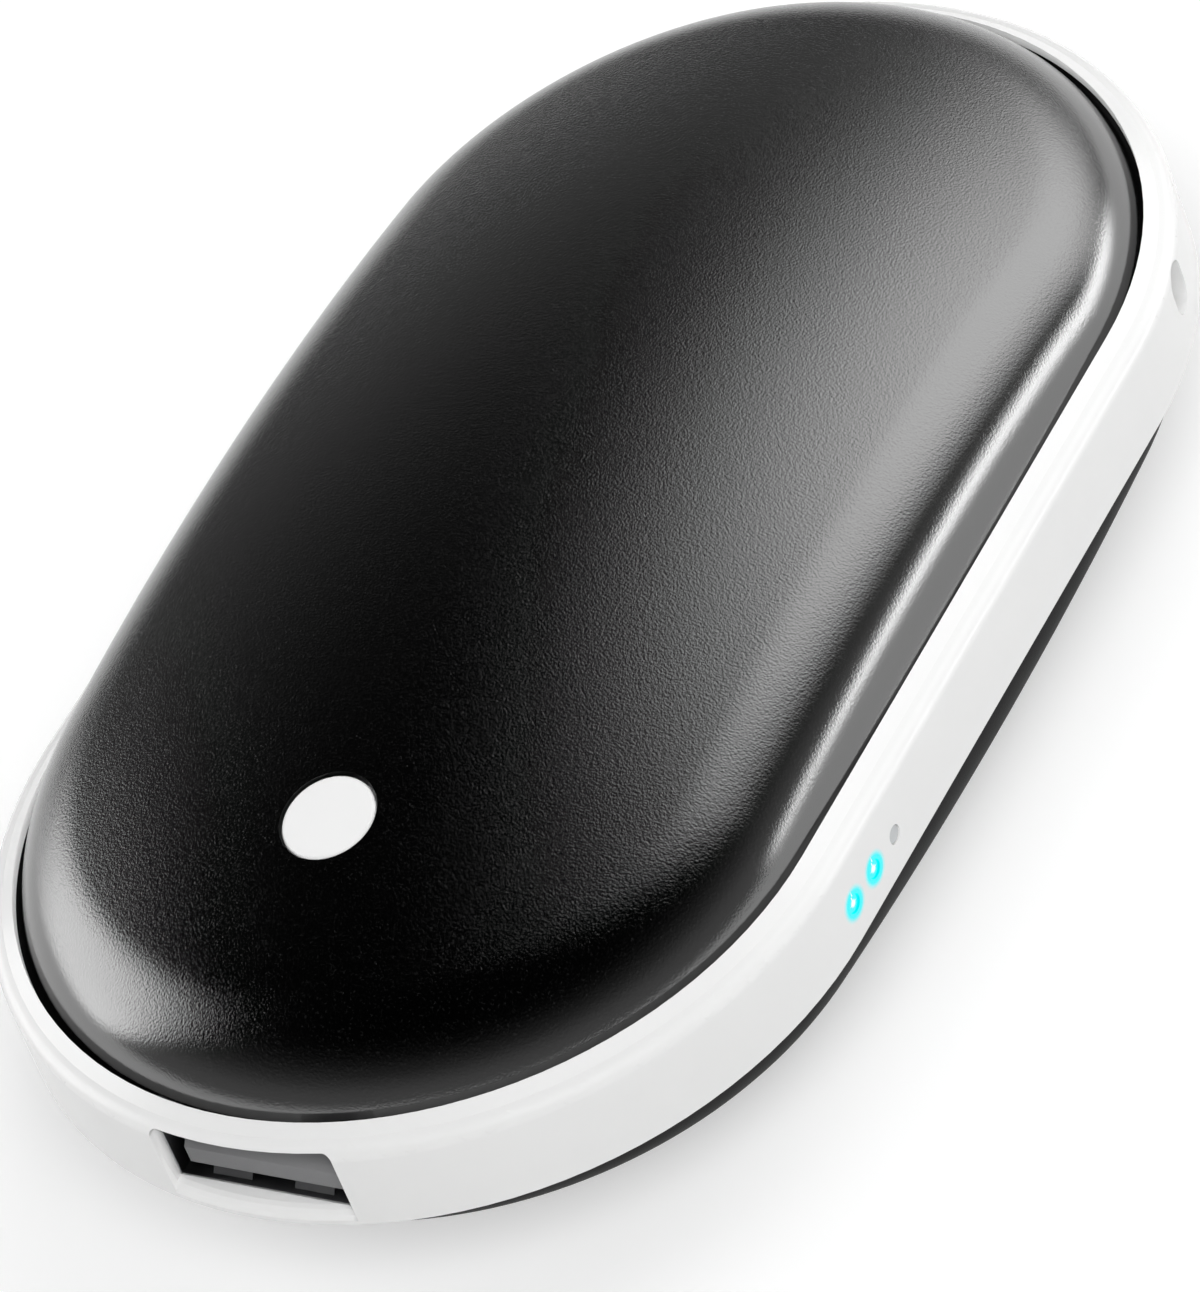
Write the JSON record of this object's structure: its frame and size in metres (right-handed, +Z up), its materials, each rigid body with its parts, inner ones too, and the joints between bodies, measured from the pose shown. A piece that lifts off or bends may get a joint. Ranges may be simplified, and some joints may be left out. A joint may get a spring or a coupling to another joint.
{
  "type": "rechargeable hand warmer",
  "caption": "Pocket hand warmer with crowned black metal domes on a white band, a press button, a USB output socket, charge lights and a battery inside.",
  "frame": {"origin": "middle of the body in plan, on the plane of the lower dome's rest flat", "axes": "+Z up through the button's dome, -Y towards the USB output socket, +X towards the charge lights"},
  "size_m": [0.056, 0.1, 0.0253],
  "materials": {
    "dome_paint": "satin black with a fine grain",
    "band_white": "smooth satin white",
    "button_white": "smooth white",
    "socket_steel": "plated sheet steel",
    "socket_black": "moulded black",
    "tongue_grey": "moulded grey",
    "contact_gold": "gold flash",
    "switch_grey": "moulded grey",
    "tinned_metal": "tinned",
    "board_green": "solder mask",
    "chip_black": "moulded epoxy",
    "coil_grey": "pressed ferrite",
    "capacitor_tan": "fired ceramic",
    "lamp_clear": "clear lens over a cyan chip",
    "guide_clear": "clear acrylic",
    "tray_grey": "moulded grey",
    "pouch_silver": "laminated foil",
    "tape_white": "foam tape",
    "film_amber": "amber film with etched tracks",
    "foam_grey": "open foam",
    "lead_red": "soft jacket",
    "lead_black": "soft jacket",
    "lead_white": "soft jacket",
    "screw_steel": "bright zinc"
  },
  "bodies": {
    "case": {"top_shell": "dome_paint", "bottom_shell": "dome_paint", "middle_frame": "band_white", "usb_socket_shell": "socket_steel", "charging_inlet_shell": "socket_steel", "charging_inlet_tongue": "socket_black", "charging_inlet_riser": "socket_black", "switch_body": "socket_black", "usb_socket_tongue": "tongue_grey", "usb_socket_contacts": "contact_gold", "switch_legs": "tinned_metal", "battery_tabs": "tinned_metal", "main_board": "board_green", "protection_board": "board_green", "control_chip": "chip_black", "heater_transistors": "chip_black", "temperature_sensors": "chip_black", "power_coil": "coil_grey", "filter_capacitors": "capacitor_tan", "charge_lamps": "lamp_clear", "light_guide": "guide_clear", "battery_tray": "tray_grey", "battery_cell_upper": "pouch_silver", "battery_cell_lower": "pouch_silver", "battery_tape": "tape_white", "heater_film_upper": "film_amber", "heater_film_lower": "film_amber", "foam_pad_upper": "foam_grey", "foam_pad_lower": "foam_grey", "battery_lead_positive": "lead_red", "battery_lead_negative": "lead_black", "heater_leads_upper": "lead_white", "heater_leads_lower": "lead_white", "tray_screws": "screw_steel", "board_screws": "screw_steel"},
    "button": {"button_cap": "button_white", "switch_plunger": "switch_grey"}
  },
  "joints": [
    {"name": "button_press", "type": "slide", "parent": "case", "child": "button", "axis": [0, 0, -1], "range_m": [0, 0.0003], "stiffness_N_per_m": 1500, "springref_m": -0.0005}
  ]
}
